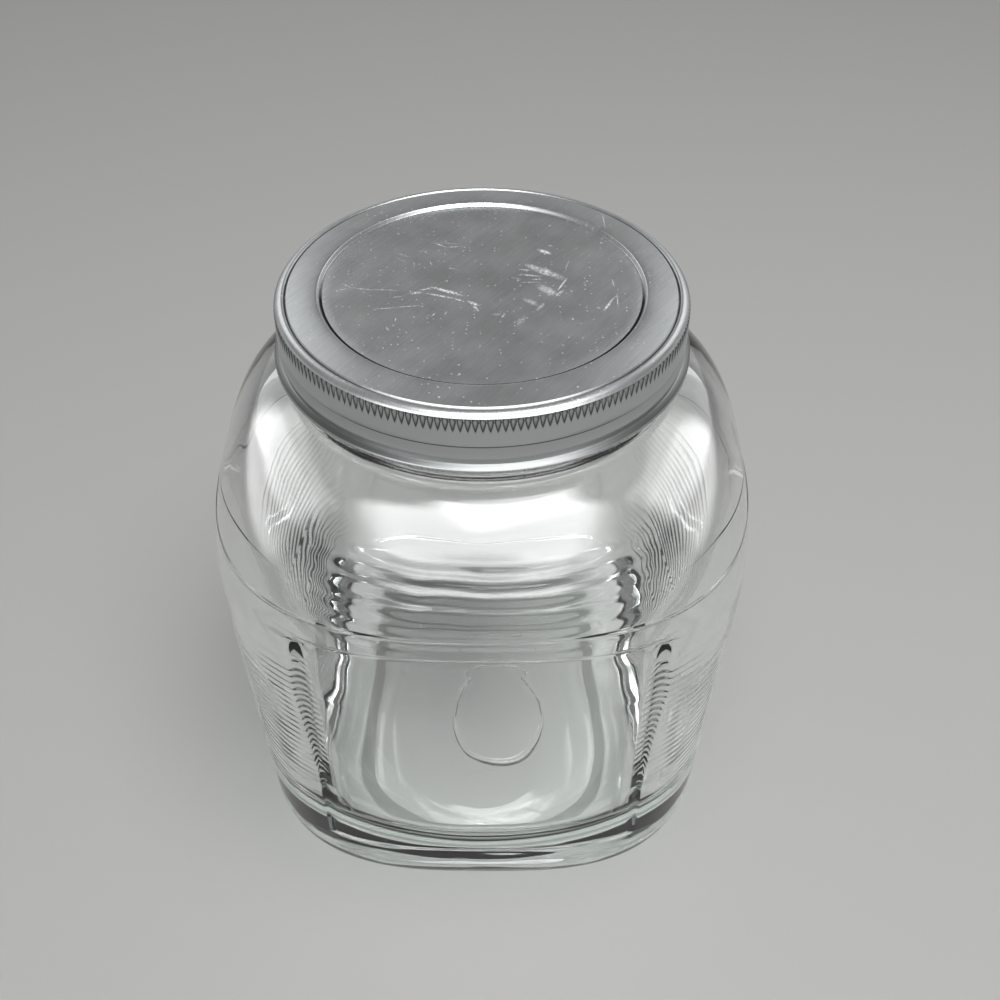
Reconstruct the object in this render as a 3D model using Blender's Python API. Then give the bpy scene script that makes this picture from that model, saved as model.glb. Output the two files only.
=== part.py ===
"""Square glass canister with a screw lid of brushed aluminium.

Two sub-parts in one frame: jar, the pressed glass body, and lid, the metal cap screwed down on its
neck. The origin is on the floor under the jar's centre, +Z points up and the smooth front panel
faces -Y. Lengths are in metres and angles in radians.
"""

import math

import bmesh
import bpy

# Whole object.
HEIGHT = 0.177  # floor to the top of the lid

# Jar: half widths of the square sections, and how square they are. A section is a superellipse, so
# a power of 2 is a circle and a higher power is a squarer shape.
SHOULDER_HALF = 0.0763
SHOULDER_POWER = 2.85
SHOULDER_Z = 0.1073
BASE_HALF = 0.0706
BASE_POWER = 3.05
HEEL_HEIGHT = 0.017
FOOT_HALF = 0.057  # outer edge of the flat ring that the jar stands on
FOOT_INNER_HALF = 0.050
PUSH_UP = 0.003
WALL_EASE = 0.014  # last stretch of the wall, in which its slope runs out below the shoulder

# Neck and its finish, as heights under the top of the lid.
NECK_RADIUS = 0.0514
NECK_DROP = 0.0239
SHOULDER_ROUNDNESS = 1.043
SHOULDER_SQUARING = 3.0  # the higher, the lower down the shoulder turns from round to square
BEAD_RADIUS = 0.0536
BEAD_TOP_DROP = 0.0196
BEAD_HEIGHT = 0.0030
LIP_DROP = 0.0024
LIP_ROUND = 0.0008
THREAD_START_DROP = 0.0145
THREAD_PITCH = 0.0060
THREAD_DEPTH = 0.0012
THREAD_HALF_HEIGHT = 0.0017
THREAD_LEVELS = 6

# Wall and the hollow inside.
WALL = 0.0048
MOUTH_RADIUS = 0.0463
SHOULDER_WALL_DROP = 0.0050
FLOOR_THICKNESS = 0.0062
FLOOR_HALF = 0.0385  # radius of the hollow's round floor
INNER_HEEL_HEIGHT = 0.022

# Relief: a field of fine ribs on each side, and a sunk smooth panel at the front and at the back.
RIB_PITCH = 0.00269
RIB_DEPTH = 0.0004
RIB_COUNT = 20
RIB_BOTTOM = 0.0345
SHORT_GROOVES = 2  # grooves above the field, each shorter than the one below it
SHORT_PITCH = 0.0037
RIB_END_X = 0.0508
EDGE_X = 0.0502
PANEL_X = 0.0456
PANEL_DEPTH = 0.0013
PANEL_FOOT_DEPTH = 0.0003
PANEL_FULL_Z = 0.0910  # from here up the panel is at its full depth
PANEL_BOTTOM = 0.0225
PANEL_TOP = 0.1150
PANEL_SLOPE = 0.0013
SEAM_Z = 0.1210
SEAM_HEIGHT = 0.0008
SEAM_DEPTH = 0.00025

# Lid, as radii and heights under its top.
LID_SHEET = 0.0009
PANEL_RECESS = 0.0011
STEP_RADIUS = 0.0424
RING_RADIUS = 0.0434
RING_FALL = 0.0009
GROOVE_RADIUS = 0.0517
GROOVE_WIDTH = 0.0010
GROOVE_DEPTH = 0.0004
RIM_RADIUS = 0.0546
RIM_DROP = 0.0024
KNURL_COUNT = 192
KNURL_DEPTH = 0.00035
KNURL_HEIGHT = 0.0032
SKIRT_RADIUS = 0.0546
CREASE_DROP = 0.0104
CREASE_DEPTH = 0.0006
LOWER_BAND_END = 0.0138
WAIST_DROP = 0.0152
WAIST_RADIUS = 0.0540
CURL_RADIUS = 0.0011
CURL_OUTER = 0.0559

# How finely the faceted solids are divided.
SIDE_STEPS = 6
FRONT_STEPS = 4
LID_STEPS = 48
QUARTER = math.pi / 2


def clear_scene():
    for item in list(bpy.data.objects):
        bpy.data.objects.remove(item)


def material(name, colour, roughness, metallic=0.0, transmission=0.0, ior=None):
    made = bpy.data.materials.new(name)
    made.use_nodes = True
    shader = made.node_tree.nodes["Principled BSDF"]
    shader.inputs["Base Color"].default_value = (*colour, 1.0)
    shader.inputs["Roughness"].default_value = roughness
    shader.inputs["Metallic"].default_value = metallic
    shader.inputs["Transmission Weight"].default_value = transmission
    if ior:
        shader.inputs["IOR"].default_value = ior
    return made


def mix(start, end, share):
    return start + (end - start) * share


# Lofting. A loop is a list of bmesh vertices in order round the axis.


def bridge(mesh, below, above):
    """Joins two loops with faces. One may have a whole number of times the other's vertices."""
    if len(below) == 1 or len(above) == 1:
        tip, loop = (below, above) if len(below) == 1 else (above, below)
        pairs = zip(loop, loop[1:] + loop[:1])
        for one, two in pairs:
            mesh.faces.new((one, two, tip[0]))
        return
    few, many = (below, above) if len(below) <= len(above) else (above, below)
    ratio = len(many) // len(few)
    for index, corner in enumerate(few):
        following = few[(index + 1) % len(few)]
        fan = [many[(index * ratio + step) % len(many)] for step in range(ratio + 1)]
        if ratio == 1:
            mesh.faces.new((corner, following, fan[1], fan[0]))
            continue
        middle = ratio // 2
        mesh.faces.new((corner, following, fan[middle]))
        for step in range(ratio):
            near = corner if step < middle else following
            mesh.faces.new((near, fan[step], fan[step + 1]))


def loft(name, loops, finish):
    """A closed solid from a chain of loops whose first and last are single points on the axis."""
    mesh = bmesh.new()
    rows = [[mesh.verts.new(point) for point in loop] for loop in loops]
    for below, above in zip(rows, rows[1:]):
        bridge(mesh, below, above)
    bmesh.ops.recalc_face_normals(mesh, faces=mesh.faces)
    data = bpy.data.meshes.new(name)
    mesh.to_mesh(data)
    mesh.free()
    data.materials.append(finish)
    data.shade_smooth()
    data.set_sharp_from_angle(angle=math.radians(35))
    solid = bpy.data.objects.new(name, data)
    bpy.context.scene.collection.objects.link(solid)
    return solid


# Jar sections.


def wall_half(z):
    """Half width of the outer wall between the heel and the shoulder, less ribs and panels."""
    height = SHOULDER_Z - HEEL_HEIGHT
    slope = (SHOULDER_HALF - BASE_HALF) / (height - WALL_EASE / 2)
    left = SHOULDER_Z - z
    if left < WALL_EASE:
        return SHOULDER_HALF - slope * left * left / (2 * WALL_EASE)
    return SHOULDER_HALF - slope * (left - WALL_EASE / 2)


def wall_power(z):
    share = (z - HEEL_HEIGHT) / (SHOULDER_Z - HEEL_HEIGHT)
    return mix(BASE_POWER, SHOULDER_POWER, min(max(share, 0.0), 1.0))


def shoulder_point(angle, half, radius, drop):
    """Half width, power and height on the shoulder: angle 0 is at the neck, QUARTER at the wall."""
    out = math.sin(angle) ** SHOULDER_ROUNDNESS
    down = 1 - math.cos(angle) ** SHOULDER_ROUNDNESS
    power = mix(2.0, SHOULDER_POWER, out**SHOULDER_SQUARING)
    return mix(radius, half, out), power, mix(HEIGHT - drop, SHOULDER_Z, down)


def outer_shoulder(angle):
    return shoulder_point(angle, SHOULDER_HALF, NECK_RADIUS, NECK_DROP)


def shoulder_angle(z):
    """The outer shoulder's angle at a height."""
    down = (HEIGHT - NECK_DROP - z) / (HEIGHT - NECK_DROP - SHOULDER_Z)
    return math.acos((1 - down) ** (1 / SHOULDER_ROUNDNESS))


def angle_of_x(x, half, power):
    """The section's parameter at which it reaches this x."""
    return math.acos(min(x / half, 1.0) ** (power / 2))


def column_angles(z):
    """Parameters of the columns in one quarter, from the side's middle to the front's middle."""
    level = min(max(z, HEEL_HEIGHT), PANEL_TOP)
    half = wall_half(min(level, SHOULDER_Z))
    power = wall_power(level)
    rib_end, edge, panel = (angle_of_x(x, half, power) for x in (RIB_END_X, EDGE_X, PANEL_X))
    side = [rib_end * step / SIDE_STEPS for step in range(SIDE_STEPS + 1)]
    front = [mix(panel, QUARTER, step / FRONT_STEPS) for step in range(FRONT_STEPS + 1)]
    return side + [edge] + front


def section(half, power, z, relief=None):
    """One loop of the jar. relief maps a column's place in its quarter to an offset outwards."""
    quarter = column_angles(z)
    last = len(quarter) - 1
    loop = []
    for turn in range(4):
        for place in range(last):
            column = place if turn % 2 == 0 else last - place
            angle = quarter[column] if turn % 2 == 0 else 2 * QUARTER - quarter[column]
            angle += QUARTER * (turn - turn % 2)
            reach = half + (relief(column) if relief else 0.0)
            across, along = math.cos(angle), math.sin(angle)
            x = math.copysign(abs(across) ** (2 / power), across) * reach
            y = math.copysign(abs(along) ** (2 / power), along) * reach
            loop.append((x, y, z))
    return loop


def rib_relief(rise, columns):
    """An offset of the columns from the side's middle to this one."""
    return lambda column: rise if column <= columns else 0.0


def with_panel(depth, relief=None):
    """Adds the sunk front and back panels to a relief."""
    first = SIDE_STEPS + 2
    return lambda column: -depth if column >= first else (relief(column) if relief else 0.0)


def panel_depth(z):
    """Depth of the sunk panels, which lie flatter than the wall and so run out towards the foot."""
    share = (z - PANEL_BOTTOM) / (PANEL_FULL_Z - PANEL_BOTTOM)
    return mix(PANEL_FOOT_DEPTH, PANEL_DEPTH, min(max(share, 0.0), 1.0))


def wall_loop(z, relief=None):
    return section(wall_half(z), wall_power(z), z, with_panel(panel_depth(z), relief))


def base_loops():
    """Push-up, the flat ring that the jar stands on, and the heel."""
    yield [(0.0, 0.0, PUSH_UP)]
    yield section(FOOT_INNER_HALF * 0.55, BASE_POWER, PUSH_UP * 0.8)
    yield section(FOOT_INNER_HALF * 0.85, BASE_POWER, PUSH_UP * 0.3)
    yield section(FOOT_INNER_HALF, BASE_POWER, 0.0)
    steps = 5
    for step in range(steps + 1):
        angle = QUARTER * step / steps
        half = mix(FOOT_HALF, wall_half(HEEL_HEIGHT), math.sin(angle))
        yield section(half, BASE_POWER, HEEL_HEIGHT * (1 - math.cos(angle)))


def ribbed_loops():
    """The wall up to the top of its grooves. The ribs' crests are flush with the plain wall."""
    yield section(wall_half(PANEL_BOTTOM), wall_power(PANEL_BOTTOM), PANEL_BOTTOM)
    yield wall_loop(PANEL_BOTTOM + PANEL_SLOPE)
    yield wall_loop(RIB_BOTTOM - RIB_PITCH / 2)
    for rib in range(RIB_COUNT):
        z = RIB_BOTTOM + rib * RIB_PITCH
        yield wall_loop(z, rib_relief(-RIB_DEPTH, SIDE_STEPS))
        yield wall_loop(z + RIB_PITCH / 2)
    field_top = RIB_BOTTOM + RIB_COUNT * RIB_PITCH
    yield wall_loop(field_top, rib_relief(-RIB_DEPTH, SIDE_STEPS))
    yield wall_loop(field_top + RIB_PITCH / 2)
    for rank in range(SHORT_GROOVES):
        z = field_top + (rank + 1) * SHORT_PITCH
        yield wall_loop(z, rib_relief(-RIB_DEPTH, SIDE_STEPS - 1 - rank))
        yield wall_loop(z + SHORT_PITCH / 2)


def shoulder_loops():
    """From the top of the sunk panels over the mould's seam and the shoulder to the neck."""
    yield wall_loop(SHOULDER_Z - 0.0015)
    sunk = outer_shoulder(shoulder_angle(PANEL_TOP - PANEL_SLOPE))
    yield section(*sunk, with_panel(PANEL_DEPTH))
    yield section(*outer_shoulder(shoulder_angle(PANEL_TOP)))
    for offset, rise in ((-1, 0.0), (0, SEAM_DEPTH), (1, 0.0)):
        half, power, z = outer_shoulder(shoulder_angle(SEAM_Z + offset * SEAM_HEIGHT))
        yield section(half + rise, power, z)
    steps = 8
    last = 0.12 * QUARTER
    for step in range(1, steps + 1):
        angle = mix(shoulder_angle(SEAM_Z + SEAM_HEIGHT), last, step / steps)
        yield section(*outer_shoulder(angle))


def thread_height(angle, z):
    """Height of the one-turn thread over the neck. It rises along +Z and runs out at its ends."""
    turn = (angle % (4 * QUARTER)) / (4 * QUARTER)
    centre = HEIGHT - THREAD_START_DROP + THREAD_PITCH * turn
    across = abs(z - centre) / THREAD_HALF_HEIGHT
    ends = min(1.0, 12 * turn, 12 * (1 - turn))
    return THREAD_DEPTH * max(0.0, 1 - across) * ends


def round_loop(radius, z, threaded=False):
    """A round loop in the jar's own columns."""
    loop = []
    for x, y, _ in section(radius, 2.0, z):
        angle = math.atan2(y, x)
        reach = 1 + (thread_height(angle, z) / radius if threaded else 0.0)
        loop.append((x * reach, y * reach, z))
    return loop


def neck_loops():
    yield round_loop(NECK_RADIUS + 0.0012, HEIGHT - NECK_DROP + 0.0004)
    yield round_loop(NECK_RADIUS, HEIGHT - NECK_DROP + 0.0016)
    bead_top = HEIGHT - BEAD_TOP_DROP
    yield round_loop(BEAD_RADIUS, bead_top - BEAD_HEIGHT * 0.7)
    yield round_loop(BEAD_RADIUS, bead_top - BEAD_HEIGHT * 0.3)
    yield round_loop(NECK_RADIUS, bead_top)
    low = HEIGHT - THREAD_START_DROP - THREAD_HALF_HEIGHT
    high = HEIGHT - THREAD_START_DROP + THREAD_PITCH + THREAD_HALF_HEIGHT
    for step in range(THREAD_LEVELS + 1):
        yield round_loop(NECK_RADIUS, mix(low, high, step / THREAD_LEVELS), threaded=True)
    lip = HEIGHT - LIP_DROP
    yield round_loop(NECK_RADIUS, lip - LIP_ROUND)
    yield round_loop(NECK_RADIUS - LIP_ROUND, lip)
    yield round_loop(MOUTH_RADIUS + LIP_ROUND, lip)
    yield round_loop(MOUTH_RADIUS, lip - LIP_ROUND)


def hollow_loops():
    """The inside, from the mouth down to the floor's middle."""
    drop = NECK_DROP + SHOULDER_WALL_DROP
    steps = 7
    for step in range(steps):
        angle = QUARTER * step / steps
        yield section(*shoulder_point(angle, SHOULDER_HALF - WALL, MOUTH_RADIUS, drop))
    rim = FLOOR_THICKNESS + PUSH_UP / 2 + INNER_HEEL_HEIGHT
    for z in (SHOULDER_Z, mix(SHOULDER_Z, rim, 0.4), rim):
        yield section(wall_half(z) - WALL, wall_power(z), z)
    steps = 4
    for step in range(1, steps + 1):
        angle = QUARTER * step / steps
        out = math.cos(angle)
        half = mix(FLOOR_HALF, wall_half(rim) - WALL, out)
        power = mix(2.0, BASE_POWER, out**1.5)
        yield section(half, power, rim - INNER_HEEL_HEIGHT * math.sin(angle))
    yield [(0.0, 0.0, FLOOR_THICKNESS + PUSH_UP)]


def make_jar():
    glass = material("clear_glass", (0.93, 0.97, 0.955), 0.02, transmission=1.0, ior=1.5)
    makers = (base_loops, ribbed_loops, shoulder_loops, neck_loops, hollow_loops)
    return loft("jar", [loop for maker in makers for loop in maker()], glass)


# Lid. Its profiles are lists of (radius, height under the top).


def turned_loop(radius, drop):
    angles = (4 * QUARTER * step / LID_STEPS for step in range(LID_STEPS))
    return [(radius * math.cos(a), radius * math.sin(a), HEIGHT - drop) for a in angles]


def knurled_loop(drop):
    """A loop whose points stand on the knurls' crests and in their troughs by turns."""
    count = 2 * KNURL_COUNT
    loop = []
    for step in range(count):
        radius = RIM_RADIUS + (KNURL_DEPTH / 2 if step % 2 else -KNURL_DEPTH / 2)
        angle = 4 * QUARTER * step / count
        loop.append((radius * math.cos(angle), radius * math.sin(angle), HEIGHT - drop))
    return loop


def lid_top_profile():
    """Sunk centre panel, the step up to the ring, the ring's fall, its groove and the round rim."""
    yield STEP_RADIUS, PANEL_RECESS
    yield RING_RADIUS - 0.0003, 0.0001
    yield RING_RADIUS + 0.0006, 0.0
    yield GROOVE_RADIUS - GROOVE_WIDTH / 2, RING_FALL
    yield GROOVE_RADIUS, RING_FALL + GROOVE_DEPTH
    yield GROOVE_RADIUS + GROOVE_WIDTH / 2, RING_FALL + 0.0001
    steps = 3
    inner = GROOVE_RADIUS + GROOVE_WIDTH / 2
    for step in range(1, steps + 1):
        angle = QUARTER * step / steps
        drop = mix(RING_FALL + 0.0001, RIM_DROP, 1 - math.cos(angle))
        yield mix(inner, RIM_RADIUS, math.sin(angle)), drop


def lid_skirt_profile():
    """Plain band, crease, lower band, waist and the curled edge."""
    knurl_end = RIM_DROP + KNURL_HEIGHT
    yield SKIRT_RADIUS, knurl_end + 0.0004
    yield SKIRT_RADIUS, CREASE_DROP - 0.0007
    yield SKIRT_RADIUS - CREASE_DEPTH, CREASE_DROP
    yield SKIRT_RADIUS, CREASE_DROP + 0.0008
    yield SKIRT_RADIUS, LOWER_BAND_END
    yield WAIST_RADIUS, WAIST_DROP
    centre = WAIST_DROP + CURL_RADIUS + 0.0003
    steps = 5
    for step in range(steps + 1):
        angle = mix(0.55, -1.35, step / steps) * QUARTER
        radius = CURL_OUTER - CURL_RADIUS + CURL_RADIUS * math.cos(angle)
        yield radius, centre - CURL_RADIUS * math.sin(angle)


def lid_inside_profile():
    wall = SKIRT_RADIUS - LID_SHEET - CREASE_DEPTH / 2
    yield wall, WAIST_DROP + CURL_RADIUS
    yield wall, CREASE_DROP
    yield wall, RIM_DROP + LID_SHEET
    yield GROOVE_RADIUS - GROOVE_WIDTH, RING_FALL + LID_SHEET
    yield RING_RADIUS + LID_SHEET, LID_SHEET
    yield STEP_RADIUS, PANEL_RECESS + LID_SHEET


def make_lid():
    metal = material("brushed_aluminium", (0.70, 0.71, 0.72), 0.36, metallic=1.0)
    loops = [[(0.0, 0.0, HEIGHT - PANEL_RECESS)]]
    loops += [turned_loop(*point) for point in lid_top_profile()]
    loops += [knurled_loop(RIM_DROP + 0.0003), knurled_loop(RIM_DROP + KNURL_HEIGHT)]
    loops += [turned_loop(*point) for point in lid_skirt_profile()]
    loops += [turned_loop(*point) for point in lid_inside_profile()]
    loops += [[(0.0, 0.0, HEIGHT - PANEL_RECESS - LID_SHEET)]]
    return loft("lid", loops, metal)


clear_scene()
make_jar()
make_lid()
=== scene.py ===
"""Dresses the square glass canister: pressed glass jar, brushed aluminium screw lid, and stage.

Lengths are in metres and angles in radians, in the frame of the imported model: +Z up, floor at 0.
"""

import math

import bmesh
import bpy
import numpy as np
from mathutils import Matrix, Vector


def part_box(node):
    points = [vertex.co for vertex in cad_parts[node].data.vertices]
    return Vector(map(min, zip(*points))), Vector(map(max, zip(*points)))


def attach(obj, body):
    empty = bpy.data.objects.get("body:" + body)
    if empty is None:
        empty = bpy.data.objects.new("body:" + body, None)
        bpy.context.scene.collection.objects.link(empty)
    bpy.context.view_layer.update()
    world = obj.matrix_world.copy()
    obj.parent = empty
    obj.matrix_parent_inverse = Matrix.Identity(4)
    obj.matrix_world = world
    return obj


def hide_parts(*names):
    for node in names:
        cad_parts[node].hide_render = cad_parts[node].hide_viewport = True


bl_info = {
    "name": "Square Glass Canister",
    "version": (1, 0, 0),
    "blender": (4, 5, 0),
    "location": "3D View > Sidebar > Canister",
    "description": "Builds a square glass canister with a brushed aluminium screw lid",
    "category": "Object",
}

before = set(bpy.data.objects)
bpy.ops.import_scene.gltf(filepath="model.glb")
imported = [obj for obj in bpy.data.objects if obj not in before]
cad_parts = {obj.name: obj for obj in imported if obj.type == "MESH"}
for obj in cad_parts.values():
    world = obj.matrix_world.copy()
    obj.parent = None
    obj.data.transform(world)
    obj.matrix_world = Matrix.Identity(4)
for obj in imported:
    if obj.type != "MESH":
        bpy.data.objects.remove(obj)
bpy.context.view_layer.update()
JAR_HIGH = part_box("jar")[1]
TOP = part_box("lid")[1][2]

QUARTER = math.pi / 2
MM = 0.001


def linear(code):
    """Linear RGB of an sRGB hex colour."""
    channels = [int(code[place : place + 2], 16) / 255 for place in (1, 3, 5)]
    return tuple(c / 12.92 if c <= 0.04045 else ((c + 0.055) / 1.055) ** 2.4 for c in channels)


def mix(start, end, share):
    return start + (end - start) * share


def length(name, description, default):
    return bpy.props.FloatProperty(
        name=name, description=description, default=default, unit="LENGTH", precision=5
    )


def colour(name, description, code):
    return bpy.props.FloatVectorProperty(
        name=name,
        description=description,
        default=linear(code),
        size=3,
        min=0.0,
        max=1.0,
        subtype="COLOR",
    )


# Sizes and colours that a user would change.


class JarSizes(bpy.types.PropertyGroup):
    """Sizes of the pressed glass jar."""

    shoulder_half: length("Shoulder", "Half width at the widest level", JAR_HIGH[0] - 0.1 * MM)
    shoulder_z: length("Shoulder height", "Height at which the wall meets the shoulder", 0.1073)
    base_half: length("Base", "Half width of the wall just above the heel", 0.0706)
    heel_height: length("Heel", "Height of the rounding under the walls", 0.017)
    foot_half: length("Foot", "Half width of the flat ring that the jar stands on", 0.057)
    push_up: length("Push-up", "Height by which the bottom's middle is raised", 0.003)
    neck_radius: length("Neck", "Outer radius of the neck", 0.0514)
    wall: length("Wall", "Thickness of the walls", 0.0048)
    mouth_radius: length("Mouth", "Inner radius of the neck", 0.0463)
    floor_thickness: length("Floor", "Thickness of the glass floor", 0.0062)
    inner_heel: length("Inner heel", "Height of the hollow's rounding at the floor", 0.028)
    inner_floor: length("Inner floor", "Radius of the hollow's round floor", 0.0370)
    ring_radius: length("Ring", "Radius of the ring pressed under the bottom", 0.0205)


class ReliefSizes(bpy.types.PropertyGroup):
    """Sizes of the relief pressed into the jar, by the names of the relief tree's inputs."""

    rib_pitch: length("Rib Pitch", "Height of one rib", 0.00269)
    rib_depth: length("Rib Depth", "Depth of the grooves between the ribs", 0.00012)
    rib_bottom: length("Rib Bottom", "Height of the lowest groove", 0.0345)
    rib_count: bpy.props.IntProperty(name="Rib Count", description="Ribs on a side", default=20)
    rib_end: length("Rib End", "Distance from the middle at which the rib field ends", 0.0506)
    grooves: bpy.props.IntProperty(
        name="Grooves", description="Shorter grooves above the ribs", default=2
    )
    groove_pitch: length("Groove Pitch", "Height from one short groove to the next", 0.0037)
    groove_reach: length("Groove Reach", "Half length of a groove before any is lost", 0.067)
    groove_step: length("Groove Step", "Half length that each groove loses on the last", 0.007)
    edge: length("Panel Edge", "Half width of the panel's bevel at its top", 0.0502)
    panel_half: length("Panel Half", "Half width of the flat panel", 0.0456)
    panel_depth: length("Panel Depth", "How far the panel's top is sunk", 0.0013)
    panel_foot_depth: length("Panel Foot Depth", "How far the panel's foot is sunk", 0.0003)
    panel_bottom: length("Panel Bottom", "Height of the panel's lower edge", 0.0225)
    panel_full: length("Panel Full Height", "Height from which the panel is deepest", 0.0910)
    panel_top: length("Panel Top", "Height of the panel's upper edge", 0.1150)
    panel_slope: length("Panel Slope", "Height of the slopes at the panel's ends", 0.0013)
    seam_z: length("Seam Height", "Height of the mould's seam on the shoulder", 0.1210)
    seam_half_width: length("Seam Half Width", "Half of the seam's height", 0.0006)
    seam_depth: length("Seam Depth", "How far the seam stands out", 0.00025)
    wave_size: length("Wave Size", "Size of the inner surface's slow waves", 0.022)
    waviness: length("Wave Depth", "Unevenness of the inner surface", 0.00025)
    settle_pitch: length("Settle Pitch", "Height of a wave inside the shoulder", 0.0042)
    settle_depth: length("Settle Depth", "Depth of the waves inside the shoulder", 0.00012)
    settle_bottom: length("Settle Bottom", "Height at which these waves start", 0.112)
    settle_top: length("Settle Top", "Height at which these waves end", 0.140)
    settle_reach: length("Settle Reach", "Half width of these waves", 0.044)


class LidSizes(bpy.types.PropertyGroup):
    """Sizes of the lid."""

    sheet: length("Sheet", "Thickness of the metal", 0.0009)
    recess: length("Recess", "Depth of the sunk middle panel", 0.0009)
    step_radius: length("Panel radius", "Radius of the sunk middle panel", 0.0424)
    groove_radius: length("Groove radius", "Radius of the fine groove inside the rim", 0.0517)
    radius: length("Radius", "Radius of the rim and the skirt", 0.0546)
    knurls: bpy.props.IntProperty(name="Knurls", description="Flutes round the rim", default=192)
    knurl_depth: length("Knurl depth", "Depth of a flute", 0.0007)
    curl_outer: length("Curl radius", "Outer radius of the curled edge", 0.0559)


class Finishes(bpy.types.PropertyGroup):
    """Colours of the glass, the metal and the stage."""

    glass: colour("Glass", "Colour that long ways through the glass take on", "#e3efec")
    metal: colour("Aluminium", "Colour of the bare aluminium", "#bcbfbf")
    scuff: colour("Scuffs", "Colour of rubbed aluminium", "#e9ebec")
    floor: colour("Stage floor", "Colour of the floor", "#b6b6b4")
    glass_roughness: bpy.props.FloatProperty(
        name="Glass roughness",
        description="Roughness of the fire-polished surface",
        default=0.0,
        min=0.0,
        max=1.0,
        subtype="FACTOR",
    )
    metal_roughness: bpy.props.FloatProperty(
        name="Aluminium roughness",
        description="Roughness of the brushed sheet",
        default=0.32,
        min=0.0,
        max=1.0,
        subtype="FACTOR",
    )


def setting_keys(group):
    """The names in code of a group's own settings."""
    return [key for key in group.bl_rna.properties.keys() if key not in ("rna_type", "name")]


# Nodes.


def add_node(tree, kind, inputs=(), **settings):
    """Adds a node with its settings. inputs holds values or sockets, by name or in order."""
    node = tree.nodes.new(kind)
    for name, value in settings.items():
        setattr(node, name, value)
    pairs = inputs.items() if isinstance(inputs, dict) else enumerate(inputs)
    for key, value in pairs:
        if isinstance(value, bpy.types.NodeSocket):
            tree.links.new(value, node.inputs[key])
        elif value is not None:
            node.inputs[key].default_value = value
    return node


SOCKETS = {
    float: "NodeSocketFloat",
    int: "NodeSocketInt",
    bpy.types.Material: "NodeSocketMaterial",
}


def new_tree(name, values):
    """A Geometry Nodes tree with a named input for each value. Returns it with its inputs."""
    tree = bpy.data.node_groups.new(name, "GeometryNodeTree")
    face = tree.interface
    face.new_socket("Geometry", in_out="INPUT", socket_type="NodeSocketGeometry")
    for title, value in values.items():
        face.new_socket(title, in_out="INPUT", socket_type=SOCKETS[type(value)])
    face.new_socket("Geometry", in_out="OUTPUT", socket_type="NodeSocketGeometry")
    return tree, add_node(tree, "NodeGroupInput").outputs


def close_tree(tree, geometry, given):
    """Ends a tree in Realize Instances and Set Material."""
    real = add_node(tree, "GeometryNodeRealizeInstances", (geometry,))
    dressed = add_node(
        tree,
        "GeometryNodeSetMaterial",
        {"Geometry": real.outputs[0], "Material": given["Material"]},
    )
    add_node(tree, "NodeGroupOutput", (dressed.outputs[0],))


def run_tree(piece, tree, values):
    """Runs a tree on a piece and leaves the result as the piece's plain mesh."""
    modifier = piece.modifiers.new(tree.name, "NODES")
    modifier.node_group = tree
    for item in tree.interface.items_tree:
        if item.in_out == "INPUT" and item.name in values:
            modifier[item.identifier] = values[item.name]
    evaluated = piece.evaluated_get(bpy.context.evaluated_depsgraph_get())
    made = bpy.data.meshes.new_from_object(evaluated)
    made.name = piece.name
    piece.modifiers.remove(modifier)
    old = piece.data
    piece.data = made
    bpy.data.meshes.remove(old)
    if not made.polygons:
        raise RuntimeError(f"{tree.name} left no faces on {piece.name}")


# Meshes.


def link_mesh(name, points, faces, outer):
    """A closed mesh with outward faces, and a point attribute that marks its outer surface."""
    data = bpy.data.meshes.new(name)
    data.from_pydata(points, [], faces)
    mesh = bmesh.new()
    mesh.from_mesh(data)
    bmesh.ops.recalc_face_normals(mesh, faces=mesh.faces)
    if any(not edge.is_manifold for edge in mesh.edges):
        raise RuntimeError(f"{name} isn't closed")
    mesh.to_mesh(data)
    mesh.free()
    marks = data.attributes.new("outer", "FLOAT", "POINT")
    marks.data.foreach_set("value", outer)
    piece = bpy.data.objects.new(name, data)
    bpy.context.scene.collection.objects.link(piece)
    return piece


def superellipse(angles, half, power):
    """Distance from the axis to a squared circle of this half width, at each angle."""
    sides = np.abs(np.cos(angles)) ** power + np.abs(np.sin(angles)) ** power
    return half * sides ** (-1 / power)


BASE_POWER = 3.05  # how square a section is: 2 is a circle
SHOULDER_POWER = 2.85
SHOULDER_ROUNDNESS = 1.043
SHOULDER_SQUARING = 3.0
WALL_EASE = 0.014  # last stretch of the wall, in which its slope runs out
INNER_ROUNDING = 0.6
RING_SHIFT = (0.0070, -0.0050)  # the ring under the bottom and the nub on it are off centre
NUB_SHIFT = (0.0050, -0.0010)
NECK_DROP = 0.0239  # from the top of the lid
SHOULDER_WALL_DROP = 0.0050
BEAD_TOP_DROP = 0.0196
BEAD_HEIGHT = 0.0032
BEAD_RADIUS = 0.0536
LIP_DROP = 0.0024
WAVES_TOP = 0.1400  # rows inside the shoulder lie close from here down, for the settle waves
THREAD_START_DROP = 0.0145
THREAD_PITCH = 0.0060
THREAD_DEPTH = 0.0012
THREAD_HALF_HEIGHT = 0.0017


def wall_half(sizes, z):
    """Half width of the outer wall between heel and shoulder, less its relief."""
    height = sizes.shoulder_z - sizes.heel_height
    slope = (sizes.shoulder_half - sizes.base_half) / (height - WALL_EASE / 2)
    left = sizes.shoulder_z - z
    if left < WALL_EASE:
        return sizes.shoulder_half - slope * left * left / (2 * WALL_EASE)
    return sizes.shoulder_half - slope * (left - WALL_EASE / 2)


def wall_power(sizes, z):
    share = (z - sizes.heel_height) / (sizes.shoulder_z - sizes.heel_height)
    return mix(BASE_POWER, SHOULDER_POWER, min(max(share, 0.0), 1.0))


def inner_power(sizes, z):
    """The hollow is rounder than the outside, so that the glass is thicker in the corners."""
    return wall_power(sizes, z) - INNER_ROUNDING


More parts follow.
